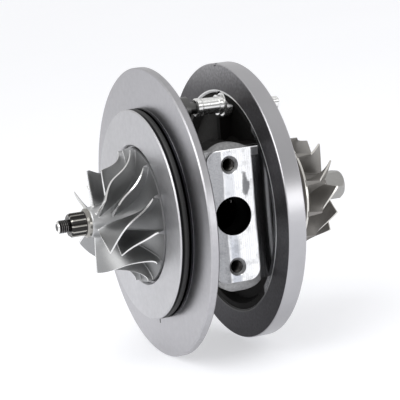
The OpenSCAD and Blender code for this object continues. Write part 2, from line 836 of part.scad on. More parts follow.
module rotor_shaft() {
  relief = 0.3;
  hub_x = seal_x - 1;
  neck_x = hub_x - 2;
  color("lightsteelblue")
    difference() {
      turned([
        [0, thread_end], [thread_r - edge, thread_end], [thread_r, thread_end + edge],
        [thread_r, nut_x], [nose_r, nut_x + nut_flange_h + edge], [nose_r, collar_end],
        [journal_r - edge, collar_end], [journal_r, collar_end + edge],
        [journal_r, land1_end], [journal_r - relief, land1_end + edge],
        [journal_r - relief, land2_x - edge], [journal_r, land2_x], [journal_r, neck_x],
        [seal_hub_r, hub_x], [seal_hub_r, turbine_back - edge], [0, turbine_back - edge]
      ]);
      ring_groove(seal_bore_r, turbine_ring_x);
    }
}

module turbine_wheel() {
  color("slategray") {
    turned(concat(
      [[0, turbine_end - sink], [0, turbine_back - edge], [seal_hub_r + 1, turbine_back - edge],
        [turbine_r, turbine_back]],
      line_points(turbine_hub_line),
      [[turbine_hub_r - 1, turbine_hub_x + 1.5], [turbine_hub_r - 1.5, turbine_end - sink]]
    ));
    // The hexagonal nose by which the wheel is held
    intersection() {
      translate([turbine_hub_x, 0, 0])
        rotate([0, 90, 0])
          cylinder(r = turbine_nose_r, h = turbine_nose_len, $fn = 6);
      turned([
        [0, turbine_hub_x], [turbine_nose_r, turbine_hub_x], [turbine_nose_r, turbine_end - 1.6],
        [turbine_nose_r - 1.2, turbine_end], [0, turbine_end]
      ]);
    }
    for (i = [0:turbine_blades - 1])
      rotate([turbine_phase + i * 360 / turbine_blades, 0, 0])
        blade(turbine_hub_line, turbine_tip_line, turbine_turn, turbine_root_t, turbine_tip_t);
  }
}

module compressor_wheel() {
  color("darkgray")
    difference() {
      union() {
        turned(concat(
          [[0, wheel_nose], [0, wheel_back], [wheel_back_r, wheel_back], [wheel_r, rim_back]],
          line_points(wheel_hub_line),
          [[hub_nose_r - 0.1, wheel_nose + edge], [hub_nose_r - edge, wheel_nose]]
        ));
        for (i = [0:full_blades - 1]) {
          rotate([blade_phase + i * 360 / full_blades, 0, 0])
            blade(wheel_hub_line, wheel_tip_line, wheel_turn, blade_root_t, blade_tip_t);
          rotate([blade_phase + (i + 0.5) * 360 / full_blades, 0, 0])
            blade(wheel_hub_line, wheel_tip_line, wheel_turn, blade_root_t, blade_tip_t,
              pow(splitter_share, 1 / 1.6));
        }
      }
      bar_x(nose_r + fit_gap, wheel_nose - 1, wheel_back + 1);
    }
}

module compressor_nut() {
  color("darkslategray")
    difference() {
      union() {
        intersection() {
          union()
            for (a = [0, 30])
              translate([nut_x - nut_h, 0, 0])
                rotate([a, 0, 0])
                  rotate([0, 90, 0])
                    cylinder(r = nut_af / sqrt(3), h = nut_h + sink, $fn = 6);
          turned([
            [0, nut_x - nut_h], [nut_af / 2, nut_x - nut_h],
            [nut_af / sqrt(3), nut_x - nut_h + 0.8], [nut_af / sqrt(3), nut_x + sink],
            [0, nut_x + sink]
          ]);
        }
        turned([
          [0, nut_x], [nut_af / 2, nut_x], [nut_flange_r, wheel_nose - 1],
          [nut_flange_r, wheel_nose], [0, wheel_nose]
        ]);
      }
      bar_x(thread_r + fit_gap, nut_x - nut_h - 1, nut_x + 1);
      turned([
        [0, nut_x], [thread_r + fit_gap, nut_x], [nose_r + fit_gap, wheel_nose + edge],
        [0, wheel_nose + edge]
      ]);
    }
}

module oil_flinger() {
  color("gray")
    difference() {
      turned([
        [nose_r + fit_gap, wheel_back], [flinger_r, wheel_back],
        [flinger_r, flinger_end - thrust_face_t + 0.2], [thrust_face_r, flinger_end - thrust_face_t + 0.2],
        [thrust_face_r, flinger_end], [nose_r + fit_gap, flinger_end]
      ]);
      ring_groove(plate_bore_r, compressor_ring_x);
    }
}

module thrust_collar() {
  sleeve_r = journal_r + 0.9;
  color("gray")
    turned([
      [nose_r + fit_gap, flinger_end], [sleeve_r, flinger_end],
      [sleeve_r, thrust_end + thrust_gap], [thrust_face_r, thrust_end + thrust_gap],
      [thrust_face_r, collar_end], [nose_r + fit_gap, collar_end]
    ]);
}

module journal_bearing(x) {
  oil_holes = 6;
  color("darkgoldenrod")
    difference() {
      ring(journal_r + shaft_clear, bearing_r, x, x + bearing_len);
      for (i = [0:oil_holes - 1])
        rotate([i * 360 / oil_holes, 0, 0])
          bar_y(0.9, 0, bearing_r + 1, x + bearing_len / 2);
    }
}

module journal_bearing_compressor() journal_bearing(bearing1_x);

module journal_bearing_turbine() journal_bearing(bearing2_x);

// Heat side and crank

module locating_pin() {
  color("silver")
    translate([flange_end - locator_depth, locator_y, locator_z])
      rotate([0, 90, 0]) {
        cylinder(r = locator_r + locator_press, h = locator_depth);
        cylinder(r = locator_r, h = locator_depth + locator_out - edge);
        translate([0, 0, locator_depth + locator_out - edge])
          cylinder(r1 = locator_r, r2 = locator_r - edge, h = edge);
      }
}

// A solid turned about the crank's axis from points of radius and station
module crank_turned(points) {
  at_crank()
    turned(points);
}

module crank_bush() {
  end_r = bush_r + 0.3;
  end_len = 2.2;
  mouth_r = end_r - 0.7;
  mouth_h = 1.6;
  ring_r = bush_r + 0.7;
  ring_len = 1.5;
  groove = 0.6;
  collar_t = 2.9;
  collar_x = bush_seat - collar_t;
  step_x = collar_x - groove - ring_len;
  color("gainsboro")
    crank_turned([
      [crank_r + crank_clear, bush_x + mouth_h], [mouth_r, bush_x + mouth_h],
      [mouth_r, bush_x], [end_r - edge, bush_x], [end_r, bush_x + edge],
      [end_r, bush_x + end_len], [bush_r - groove, bush_x + end_len],
      [bush_r - groove, bush_x + end_len + groove], [bush_r, bush_x + end_len + groove],
      [bush_r, step_x], [ring_r, step_x], [ring_r, step_x + ring_len],
      [bush_r, step_x + ring_len], [bush_r, collar_x], [bush_collar_r - edge, collar_x],
      [bush_collar_r, collar_x + edge], [bush_collar_r, bush_seat], [bush_r, bush_seat],
      [bush_r, flange_end], [crank_r + crank_clear, flange_end]
    ]);
}

module crank_shaft() {
  color("silver")
    difference() {
      union() {
        at_crank() {
          bar_x(crank_r, lever_x, arm_x + arm_t);
          // The inner arm points at the rotor axis
          bar_x(crank_r + 2, arm_x, arm_x + arm_t);
          bar_x(arm_end_r, arm_x, arm_x + arm_t, 0, -arm_len);
          translate([arm_x, -arm_end_r, -arm_len])
            cube([arm_t, 2 * arm_end_r, arm_len]);
          bar_x(finger_r, arm_x, arm_x + arm_t + finger_h, 0, -arm_len);
        }
      }
    }
}

// The outer lever points away from the drain, to the actuator's side
module crank_lever() {
  tip_r = lever_pin_r + 1.8;
  color("gray")
    at_crank()
      difference() {
        union() {
          bar_x(lever_hub_r, lever_x, lever_x + lever_t);
          bar_x(tip_r, lever_x, lever_x + lever_t, lever_len);
          translate([lever_x, 0, -tip_r + 0.4])
            cube([lever_t, lever_len, 2 * tip_r - 0.8]);
        }
        bar_x(crank_r + fit_gap, lever_x - 1, lever_x + lever_t + 1);
        bar_x(lever_pin_r - 0.5 + fit_gap, lever_x - 1, lever_x + lever_t + 1, lever_len);
      }
}

module lever_pin() {
  rivet_r = lever_pin_r - 0.5;
  tip_x = lever_x - lever_pin_len;
  color("silver")
    at_crank()
      translate([0, lever_len, 0])
        turned([
          [0, tip_x], [lever_pin_r - edge, tip_x], [lever_pin_r, tip_x + edge],
          [lever_pin_r, lever_x], [rivet_r, lever_x], [rivet_r, lever_x + lever_t],
          [0, lever_x + lever_t]
        ]);
}

bearing_housing();
compressor_backplate();
backplate_o_ring();
housing_o_ring();
backplate_screws();
oil_deflector();
thrust_bearing();
thrust_bearing_pins();
bearing_retaining_rings();
compressor_seal_ring();
turbine_seal_ring();
heat_shield();
crank_bush();
locating_pin();
rotor_shaft();
turbine_wheel();
compressor_wheel();
compressor_nut();
oil_flinger();
thrust_collar();
journal_bearing_compressor();
journal_bearing_turbine();
crank_shaft();
crank_lever();
lever_pin();
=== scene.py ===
"""Turbocharger cartridge: finishes, fine details, floor, light and camera.

The scene is in metres, in the CAD frame: X is the rotor axis, with the compressor at -X and the
turbine at +X, Z is up, and the oil drain pad faces -Y. Named sizes are in millimetres.
"""

import json
import math

import bpy
from mathutils import Matrix, Vector


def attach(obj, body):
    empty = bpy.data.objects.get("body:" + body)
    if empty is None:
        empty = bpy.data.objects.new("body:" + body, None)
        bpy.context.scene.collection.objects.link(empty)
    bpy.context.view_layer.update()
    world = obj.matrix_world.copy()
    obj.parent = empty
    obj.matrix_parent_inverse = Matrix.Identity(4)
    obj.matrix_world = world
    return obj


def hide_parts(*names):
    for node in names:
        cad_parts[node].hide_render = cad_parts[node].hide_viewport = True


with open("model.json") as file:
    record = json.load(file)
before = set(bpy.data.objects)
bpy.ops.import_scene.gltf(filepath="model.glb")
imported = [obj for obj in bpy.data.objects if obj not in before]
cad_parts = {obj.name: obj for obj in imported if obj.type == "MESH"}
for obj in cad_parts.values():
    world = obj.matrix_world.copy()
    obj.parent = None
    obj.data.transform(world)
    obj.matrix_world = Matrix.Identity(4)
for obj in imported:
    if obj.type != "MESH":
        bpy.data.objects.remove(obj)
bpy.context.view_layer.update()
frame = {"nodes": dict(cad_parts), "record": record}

MM = 0.001

# Sizes of the CAD model that finishes and details refer to
BOSS_FACE = -5.6
GROOVE_R = 40.0
PLATE_R = 60.0
SEAT_END = 4.2
FLANGE_X = 34.2
FLANGE_END = 42.1
FLANGE_R = 58.0
RIM_FROM = 57.3
RECESS_R = 46.5
PAD_Y = 36.0
DRAIN_X = 21.0
DRAIN_R = 7.8
DRAIN_PITCH = 41.2
THREAD_CORE_R = 2.55
INLET_X = 17.0
INLET_Y = 37.0
INLET_R = 5.1
SHAFT_TIP = -41.1
SHAFT_THREAD_R = 2.4
NUT_FRONT = -36.1
NUT_FLANGE_X = -29.8
NUT_POINTS = 12
NUT_POINTS_R = 3.4

# Compressor wheel, as on the CAD model
WHEEL_R = 27.8
WHEEL_INLET_R = 21.0
WHEEL_NOSE_R = 6.4
WHEEL_BACK_R = 14.0
WHEEL_BORE_R = 2.77
WHEEL_BACK_X = -2.4
RIM_BACK_X = -4.6
RIM_FRONT_X = -6.0
WHEEL_OUTLET_X = -8.0
WHEEL_ARC = 11.0
INLET_ROOT_X = -25.5
INLET_TIP_X = -26.1
WHEEL_NOSE_X = -27.8
BLADE_WRAP = 53.0
BLADE_PHASE = 97.5
FULL_BLADES = 6
SPLITTER_SHARE = 0.71
BLADE_ROOT_T = 1.7
BLADE_TIP_T = 0.7
# The curves along a compressor blade run with this power of its share
BLADE_POWER = 1.6
# Factors of the first, second and third power of that share in the blade's turn
TURN_TERMS = (1.1, -1.38, 1.28)

# Turbine wheel, as on the CAD model
TURBINE_R = 23.2
TURBINE_OUT_R = 20.3
TURBINE_HUB_R = 7.2
TURBINE_NOSE_R = 6.6
TURBINE_BACK_R = 9.0
TURBINE_BACK_X = 60.4
TURBINE_RIM_X = 61.3
TURBINE_TIP_X = 67.7
TURBINE_OUT_X = 76.8
TURBINE_HUB_X = 78.5
TURBINE_END_X = 88.0
TURBINE_WRAP = 25.0
TURBINE_PHASE = 132.0
TURBINE_BLADES = 11
TURBINE_ROOT_T = 2.0
TURBINE_TIP_T = 0.8

# The tick on the backplate
TICK_Y = (-0.05, 1.1)
TICK_Z = (-46.7, -44.8)

# The drain pad's face: its polished strip and how far that wanders, the haze on it, a stain, the
# upper edge with its painted highlight, the glossy corner beside the flange, and the cutter's
# slanted marks
POLISH_X = (17.9, 30.6)
WANDER = 0.8
HAZE_X = (18.3, 22.4)
HAZE_LOW_Z = -9.0
STAIN_X = 27.2
STAIN_Z = 12.0
STAIN_HALF_WIDTH = 1.5
STAIN_HALF_HEIGHT = 4.8
PAD_EDGE_Z = 26.4
STRIP_X = 30.9
MARKS_FROM = 23.0
MARK_PITCH = 0.9
MARK_DEPTH = 0.18

# The housing: the blasted block round the pad, where the near side's painted shade gives way to the
# far side, and depth of the grain
BLOCK_Y = -30.0
BLOCK_END = 37.5
DRAIN_WALL_END = -20.0
NEAR_SHADE_END_Y = 12.0
RELIEF = 0.12

# The slanted marks that a turning tool left on the polished steel
TOOL_PITCH = 0.5
TOOL_DEPTH = 0.13

# Colours of the backplate
PLATE_COLOUR = (0.495, 0.490, 0.508)
BOSS_COLOUR = (0.58, 0.578, 0.593)
# Near black: painted shade on the boss's grooved side, and the colour of the tick
SHADE_AND_TICK_COLOUR = (0.022, 0.022, 0.025)

# Colours of the drain pad
PAD_DULL = (0.335, 0.338, 0.352)
PAD_POLISHED = (0.95, 0.953, 0.96)
PAD_HAZE = (0.70, 0.71, 0.735)
PAD_HAZE_LOW = (0.56, 0.58, 0.625)
PAD_STAIN = (0.17, 0.172, 0.18)
PAD_CORNER = (0.14, 0.14, 0.145)
# A painted highlight along the pad's upper edge
PAD_EDGE_HIGHLIGHT = (0.95, 0.95, 0.95)

# Colours of the housing: its flange's front from the bottom up, painted shade low and painted light
# at the top, the casting and the machined iron
FLANGE_SHADED_LOW = (0.048, 0.046, 0.052)
FLANGE_SHADED_MIDDLE = (0.100, 0.097, 0.102)
FLANGE_LIT_TOP = (0.36, 0.356, 0.366)
BLASTED = (0.40, 0.40, 0.405)
GLOSSY = (0.15, 0.15, 0.155)
# Painted shade: the drain hole's wall, near black
DRAIN_SHADE = (0.012, 0.012, 0.012)
# The casting's skin: painted near black as shade on the near side, then its own bare colour on the
# far side
SHADED_SKIN = ((0.005, 0.005, 0.005), (0.012, 0.011, 0.010))
BARE_SKIN = ((0.032, 0.031, 0.030), (0.062, 0.060, 0.057))
MACHINED = (0.47, 0.466, 0.482)
# The recess edge: painted shade low down, then a painted highlight at the top
RECESS_EDGE_SHADE_AND_HIGHLIGHT = ((0.08, 0.08, 0.08), (0.90, 0.90, 0.90))

# Colours of the nut, the shaft, the polished bush and the rubber
NUT_COLOUR = (0.035, 0.034, 0.033)
# Painted highlights on the nut's points and on its flange
NUT_POINT_HIGHLIGHT = (0.50, 0.485, 0.445)
NUT_FLANGE_HIGHLIGHT = (0.40, 0.388, 0.36)
THREAD_COLOUR = (0.016, 0.015, 0.015)
# Painted highlight on the thread's crests
THREAD_CREST_HIGHLIGHT = (0.22, 0.215, 0.21)
SHAFT_COLOURS = ((0.42, 0.41, 0.40), (0.58, 0.57, 0.55))
SHAFT_BLACK = (0.022, 0.021, 0.020)
# Painted highlight on the edge at the shaft's tip
SHAFT_TIP_HIGHLIGHT = (0.85, 0.84, 0.82)
BUSH_COLOURS = ((0.86, 0.86, 0.85), (0.96, 0.96, 0.95))
RUBBER_COLOURS = ((0.010, 0.010, 0.010), (0.022, 0.022, 0.022))


class Shader:
    """A material's node tree, with short calls for the nodes that the finishes use.

    Places, the limits of masks and the depths of bumps are in millimetres.
    """

    def __init__(self, name):
        self.material = bpy.data.materials.new(name)
        self.material.use_nodes = True
        self.tree = self.material.node_tree
        self.tree.nodes.clear()
        output = self.add("ShaderNodeOutputMaterial")
        self.surface = self.add("ShaderNodeBsdfPrincipled")
        self.link(self.surface.outputs["BSDF"], output.inputs["Surface"])
        self.coords = self.add("ShaderNodeTexCoord").outputs["Object"]
        split = self.add("ShaderNodeSeparateXYZ")
        self.link(self.coords, split.inputs[0])
        self.x, self.y, self.z = (self.calc("DIVIDE", axis, MM) for axis in split.outputs)

    def add(self, kind, **settings):
        node = self.tree.nodes.new(kind)
        for key, value in settings.items():
            setattr(node, key, value)
        return node

    def link(self, source, target):
        self.tree.links.new(source, target)

    def feed(self, socket, value):
        """Links a socket, or sets a plain value."""
        if isinstance(value, bpy.types.NodeSocket):
            self.link(value, socket)
        else:
            socket.default_value = value

    def feed_colour(self, socket, colour):
        """Links a socket, or sets a plain opaque colour."""
        self.feed(socket, colour if isinstance(colour, bpy.types.NodeSocket) else (*colour, 1.0))

    def calc(self, operation, a, b=0.0):
        node = self.add("ShaderNodeMath", operation=operation)
        self.feed(node.inputs[0], a)
        self.feed(node.inputs[1], b)
        return node.outputs[0]

    def chain(self, operation, values):
        result = values[0]
        for value in values[1:]:
            result = self.calc(operation, result, value)
        return result

    def total(self, *values):
        return self.chain("ADD", values)

    def times(self, *values):
        return self.chain("MULTIPLY", values)

    def both(self, *masks):
        return self.chain("MULTIPLY", masks)

    def either(self, *masks):
        return self.chain("MAXIMUM", masks)

    def squares(self, a, b):
        return self.total(self.times(a, a), self.times(b, b))

    def radius(self):
        """Distance from the rotor's axis."""
        return self.calc("SQRT", self.squares(self.y, self.z))

    def saw(self, value, pitch):
        """A slope from 0 to 1 that starts again after each pitch."""
        return self.calc("FRACT", self.times(value, 1.0 / pitch))

    def above(self, value, limit, soft=0.05):
        """1 where value is over limit, 0 where it is under, with a soft edge."""
        node = self.add("ShaderNodeMapRange", interpolation_type="SMOOTHSTEP")
        self.link(value, node.inputs["Value"])
        node.inputs["From Min"].default_value = limit - soft
        node.inputs["From Max"].default_value = limit + soft
        return node.outputs["Result"]

    def below(self, value, limit, soft=0.05):
        return self.calc("SUBTRACT", 1.0, self.above(value, limit, soft))

    def between(self, value, low, high, soft=0.05):
        return self.both(self.above(value, low, soft), self.below(value, high, soft))

    def noise(self, scale, detail=3.0, roughness=0.55, stretch=(1.0, 1.0, 1.0)):
        """Noise from 0 to 1 on the object's own coordinates; scale is per metre."""
        mapping = self.add("ShaderNodeMapping")
        mapping.inputs["Scale"].default_value = stretch
        self.link(self.coords, mapping.inputs["Vector"])
        node = self.add("ShaderNodeTexNoise")
        node.inputs["Scale"].default_value = scale
        node.inputs["Detail"].default_value = detail
        node.inputs["Roughness"].default_value = roughness
        self.link(mapping.outputs[0], node.inputs["Vector"])
        return node.outputs[0]

    def rings(self, value, per_mm):
        """Fine lines along which value stays the same, as a lathe leaves them."""
        node = self.add("ShaderNodeTexNoise", noise_dimensions="1D")
        node.inputs["Scale"].default_value = 1.0
        node.inputs["Detail"].default_value = 4.0
        node.inputs["Roughness"].default_value = 0.7
        self.link(self.times(value, per_mm), node.inputs["W"])
        return node.outputs[0]

    def blend(self, mask, low, high):
        """A number that goes from low to high with the mask."""
        node = self.add("ShaderNodeMix", data_type="FLOAT")
        self.feed(node.inputs[0], mask)
        self.feed(node.inputs[2], low)
        self.feed(node.inputs[3], high)
        return node.outputs[0]

    def tint(self, mask, low, high):
        """A colour that goes from low to high with the mask."""
        node = self.add("ShaderNodeMix", data_type="RGBA")
        self.feed(node.inputs[0], mask)
        self.feed_colour(node.inputs[6], low)
        self.feed_colour(node.inputs[7], high)
        return node.outputs[2]

    def scaled(self, colour, factor):
        """A colour made lighter or darker by a factor."""
        node = self.add("ShaderNodeMix", data_type="RGBA", blend_type="MULTIPLY")
        node.inputs[0].default_value = 1.0
        self.feed_colour(node.inputs[6], colour)
        combine = self.add("ShaderNodeCombineColor")
        for socket in combine.inputs[:3]:
            self.link(factor, socket)
        self.link(combine.outputs[0], node.inputs[7])
        return node.outputs[2]

    def bump(self, height, depth, strength=1.0):
        node = self.add("ShaderNodeBump")
        node.inputs["Strength"].default_value = strength
        node.inputs["Distance"].default_value = depth * MM
        self.link(height, node.inputs["Height"])
        return node.outputs[0]

    def finish(self, colour, roughness, normal=None, metallic=1.0):
        """Connects the surface and gives the material."""
        self.feed_colour(self.surface.inputs["Base Color"], colour)
        self.feed(self.surface.inputs["Roughness"], roughness)
        self.feed(self.surface.inputs["Metallic"], metallic)
        if normal is not None:
            self.link(normal, self.surface.inputs["Normal"])
        return self.material


# Finishes; their masks reach a few tenths of a millimetre past the faces that they cover


def turned_aluminium():
    """Fine turned aluminium of the backplate, with a lighter boss whose grooved side is painted
    near black as shade, and a dark tick.
    """
    s = Shader("turned_aluminium")
    radius = s.radius()
    lines = s.rings(radius, 2.6)
    smudges = s.noise(22.0, 4.0)
    specks = s.noise(420.0, 4.0, 0.65)
    boss = s.below(s.x, -0.3, 0.2)
    # Painted shade: the boss's grooved side, down to its corner with the plate, is painted near
    # black
    side = s.both(s.above(s.x, BOSS_FACE + 0.55, 0.1), s.below(s.x, -0.05),
                  s.above(radius, GROOVE_R))
    tick = s.both(s.between(s.y, *TICK_Y), s.between(s.z, *TICK_Z), s.above(s.x, -0.3))
    colour = s.tint(boss, PLATE_COLOUR, BOSS_COLOUR)
    colour = s.scaled(colour, s.blend(smudges, 0.88, 1.08))
    colour = s.scaled(colour, s.blend(specks, 0.84, 1.10))
    colour = s.tint(s.either(side, tick), colour, SHADE_AND_TICK_COLOUR)
    rough = s.total(s.blend(boss, 0.29, 0.35), s.times(lines, 0.09),
                    s.blend(smudges, -0.03, 0.05))
    tangent = s.add("ShaderNodeTangent", direction_type="RADIAL", axis="X")
    s.link(tangent.outputs[0], s.surface.inputs["Tangent"])
    s.surface.inputs["Anisotropic"].default_value = 0.5
    return s.finish(colour, rough, s.bump(lines, 0.012, 0.6))


def pad_face(s):
    """The drain pad's machined face: mask, colour, roughness, and where the cutter's marks show."""
    face = s.both(s.below(s.y, 0.2 - PAD_Y, 0.1), s.below(s.x, FLANGE_X - 0.2))
    blotches = s.noise(260.0, 4.0, 0.65)
    streaks = s.noise(420.0, 3.0, 0.6, stretch=(1.0, 1.0, 0.06))
    grain = s.noise(1500.0, 3.0, 0.7)
    place = s.total(s.x, s.blend(s.noise(70.0), -WANDER, WANDER))
    polished = s.between(place, *POLISH_X, 0.5)
    hazy = s.both(polished, s.between(place, *HAZE_X, 0.9))
    across = s.calc("DIVIDE", s.calc("SUBTRACT", place, STAIN_X), STAIN_HALF_WIDTH)
    along = s.calc("DIVIDE", s.calc("SUBTRACT", s.z, STAIN_Z), STAIN_HALF_HEIGHT)
    ragged = s.total(s.squares(across, along), s.blend(blotches, -1.5, 1.5))
    stain = s.below(ragged, 1.0, 0.5)
    corner = s.above(s.x, STRIP_X, 0.15)
    # Painted highlight along the pad's upper edge
    edge = s.above(s.z, PAD_EDGE_Z, 0.12)

    dull = s.scaled(PAD_DULL, s.blend(grain, 0.45, 1.5))
    haze = s.tint(s.below(s.z, HAZE_LOW_Z, 4.0), PAD_HAZE, PAD_HAZE_LOW)
    colour = s.tint(polished, dull, PAD_POLISHED)
    colour = s.tint(hazy, colour, haze)
    colour = s.tint(s.times(stain, s.blend(blotches, 0.75, 1.0)), colour, PAD_STAIN)
    colour = s.tint(corner, colour, PAD_CORNER)
    colour = s.scaled(colour, s.blend(streaks, 0.82, 1.08))
    colour = s.scaled(colour, s.blend(s.above(blotches, 0.40, 0.10), 0.78, 1.0))
    colour = s.tint(edge, colour, PAD_EDGE_HIGHLIGHT)
    rough = s.total(s.blend(polished, 0.34, 0.16), s.times(stain, 0.15))
    marks = s.both(face, s.above(place, MARKS_FROM, 2.5))
    return face, colour, rough, marks


def cast_housing():
    """Dark sand-cast iron with machined rims, faces and bores."""
    s = Shader("cast_housing")
    radius = s.radius()
    grain = s.noise(900.0, 4.0, 0.6)
    patches = s.noise(60.0, 4.0)
    streaks = s.noise(900.0, 3.0, 0.6, stretch=(1.0, 1.0, 0.03))
    lines = s.rings(radius, 3.0)

    # Where the machined faces, the blasted block round the pad and the drain's wall are
    rim = s.above(radius, RIM_FROM, 0.1)
    front_face = s.both(s.between(s.x, FLANGE_X - 0.3, FLANGE_X + 0.2),
                        s.above(radius, RECESS_R - 0.1))
    recess_edge = s.both(s.between(radius, RECESS_R - 0.55, RECESS_R + 0.6),
                         s.between(s.x, FLANGE_X - 0.2, FLANGE_X + 0.6))
    rear = s.above(s.x, FLANGE_END - 0.4)
    front = s.below(s.x, SEAT_END)
    inlet = s.above(s.y, INLET_Y - 0.3)
    machined = s.either(rim, front_face, recess_edge, rear, front, inlet)
    face, face_colour, face_rough, marks = pad_face(s)
    smooth = s.either(machined, face)
    block = s.both(s.below(s.y, BLOCK_Y, 0.8), s.below(s.x, BLOCK_END), s.below(radius, RECESS_R))
    strip = s.both(block, s.above(s.x, STRIP_X, 0.15))
    drain = s.calc("SQRT", s.squares(s.calc("SUBTRACT", s.x, DRAIN_X), s.z))
    shaded_drain_wall = s.both(s.below(drain, DRAIN_R + 0.1), s.below(s.y, DRAIN_WALL_END),
                        s.above(s.y, 0.02 - PAD_Y, 0.01))

    # The flange's front has painted shade towards the bottom and painted light at the top, and its
    # recess edge has a painted highlight at the top
    flange_shading = s.tint(s.above(s.z, -20.0, 25.0), FLANGE_SHADED_LOW, FLANGE_SHADED_MIDDLE)
    flange_shading = s.tint(s.above(s.z, 51.5, 8.5), flange_shading, FLANGE_LIT_TOP)
    flange_shading = s.scaled(flange_shading, s.blend(grain, 0.35, 1.6))
    # Painted highlight on the upper part of the recess edge, painted shade on its lower part
    edge_highlight_colour = s.tint(s.above(s.z, -26.0, 16.0), *RECESS_EDGE_SHADE_AND_HIGHLIGHT)
    iron = s.scaled(MACHINED, s.blend(patches, 0.88, 1.08))
    iron = s.tint(front_face, iron, flange_shading)
    iron = s.tint(recess_edge, iron, edge_highlight_colour)

    # The casting has painted shade on its near side and its own bare colour on the far side, and is
    # blasted round the pad with a glossier strip
    bare = s.scaled(s.tint(patches, *BARE_SKIN), s.blend(grain, 0.6, 1.3))
    blasted = s.scaled(BLASTED, s.blend(grain, 0.45, 1.35))
    glossy = s.scaled(GLOSSY, s.blend(streaks, 0.1, 1.9))
    skin = s.tint(s.above(s.y, NEAR_SHADE_END_Y, 10.0), s.tint(patches, *SHADED_SKIN), bare)
    skin = s.tint(block, skin, s.tint(strip, blasted, glossy))

    colour = s.tint(machined, skin, iron)
    colour = s.tint(face, colour, face_colour)
    # The drain's wall is painted near black as shade in the hole
    colour = s.tint(shaded_drain_wall, colour, DRAIN_SHADE)
    skin_rough = s.blend(strip, s.blend(patches, 0.50, 0.66), 0.26)
    iron_rough = s.total(s.blend(lines, 0.25, 0.34),
                         s.times(s.either(front_face, recess_edge), 0.18))
    rough = s.blend(face, s.blend(machined, skin_rough, iron_rough), face_rough)
    relief = s.blend(smooth, s.times(grain, 0.7), s.times(lines, 0.035))
    relief = s.blend(marks, relief, s.times(s.saw(s.x, MARK_PITCH), MARK_DEPTH / RELIEF))
    # The cast skin is a dark oxide
    s.surface.inputs["Specular IOR Level"].default_value = 0.04
    return s.finish(colour, rough, s.bump(relief, RELIEF), s.either(smooth, block))


def casting(name, dark, light, rough_low, rough_high, metallic=1.0, lit_core_r=None):
    """Fine investment casting with slight patches and grain, and with painted light that makes it
    lighter near the axis when a radius is given.
    """
    s = Shader(name)
    grain = s.noise(1400.0, 3.0, 0.6)
    patches = s.noise(110.0)
    colour = s.scaled(s.tint(patches, dark, light), s.blend(grain, 0.9, 1.08))
    if lit_core_r:
        # Painted light: the exposed hub near the axis is made lighter, as the light falls on it
        colour = s.scaled(colour, s.blend(s.above(s.radius(), lit_core_r, 2.5), 1.5, 1.0))
    s.surface.inputs["Specular IOR Level"].default_value = 0.3
    rough = s.blend(patches, rough_low, rough_high)
    return s.finish(colour, rough, s.bump(grain, 0.03, 0.5), metallic)


def nut_black():
    """Black oxide steel, with painted highlights on the nut's points and on its flange."""
    s = Shader("nut_black")
    angle = s.calc("ARCTAN2", s.z, s.y)
    points = s.both(s.above(s.calc("COSINE", s.times(angle, NUT_POINTS)), 0.72, 0.2),
                    s.above(s.radius(), NUT_POINTS_R, 0.2), s.below(s.x, NUT_FLANGE_X))
    flange = s.above(s.x, NUT_FLANGE_X + 0.25, 0.1)
    # Painted highlights on the points and the flange, broken up by noise
    highlight = s.times(s.either(points, flange), s.blend(s.noise(500.0), 0.55, 1.0))
    colour = s.tint(highlight, NUT_COLOUR, s.tint(flange, NUT_POINT_HIGHLIGHT, NUT_FLANGE_HIGHLIGHT))
    return s.finish(colour, s.blend(highlight, 0.24, 0.16))


def thread_black():
    """Black oxide steel with painted highlights on its crests, for the shaft's thread."""
    s = Shader("thread_black")
    crest = s.above(s.radius(), SHAFT_THREAD_R + 0.2, 0.06)
    highlight = s.times(crest, s.blend(s.noise(700.0, 2.0), 0.2, 1.0))
    return s.finish(s.tint(highlight, THREAD_COLOUR, THREAD_CREST_HIGHLIGHT), 0.22)


def shaft_ground():
    """Ground steel, black on the threaded end, with a painted highlight on the edge at the tip."""
    s = Shader("shaft_ground")
    radius = s.radius()
    lines = s.rings(s.total(s.x, radius), 2.5)
    threaded = s.below(s.x, NUT_FRONT)
    tip_highlight = s.both(s.below(s.x, SHAFT_TIP + 0.55), s.above(radius, 1.5, 0.1))
    colour = s.tint(s.noise(160.0), *SHAFT_COLOURS)
    colour = s.tint(threaded, colour, SHAFT_BLACK)
    colour = s.tint(tip_highlight, colour, SHAFT_TIP_HIGHLIGHT)
    return s.finish(colour, s.blend(lines, 0.18, 0.28), s.bump(lines, 0.008, 0.5))


def plain_steel(name, dark, light, rough_low, rough_high):
    """Steel with turned lines and slight patches."""
    s = Shader(name)
    patches = s.noise(160.0)
    lines = s.rings(s.total(s.x, s.radius()), 2.5)
    rough = s.total(s.blend(lines, rough_low, rough_high), s.blend(patches, -0.03, 0.03))
    return s.finish(s.tint(patches, dark, light), rough, s.bump(lines, 0.008, 0.5))


def polished_steel():
    """Bright turned steel, whose slanted tool marks catch the light from the front."""
    s = Shader("polished_steel")
    colour = s.tint(s.noise(160.0), *BUSH_COLOURS)
    rough = s.blend(s.rings(s.x, 2.5), 0.17, 0.25)
    return s.finish(colour, rough, s.bump(s.saw(s.x, TOOL_PITCH), TOOL_DEPTH), 0.9)


def rubber():
    """Dull black rubber with a fine grain."""
    s = Shader("rubber")
    grain = s.noise(2500.0, 2.0)
    colour = s.tint(s.noise(150.0), *RUBBER_COLOURS)
    return s.finish(colour, s.blend(grain, 0.45, 0.62), s.bump(grain, 0.01, 0.5), 0.0)


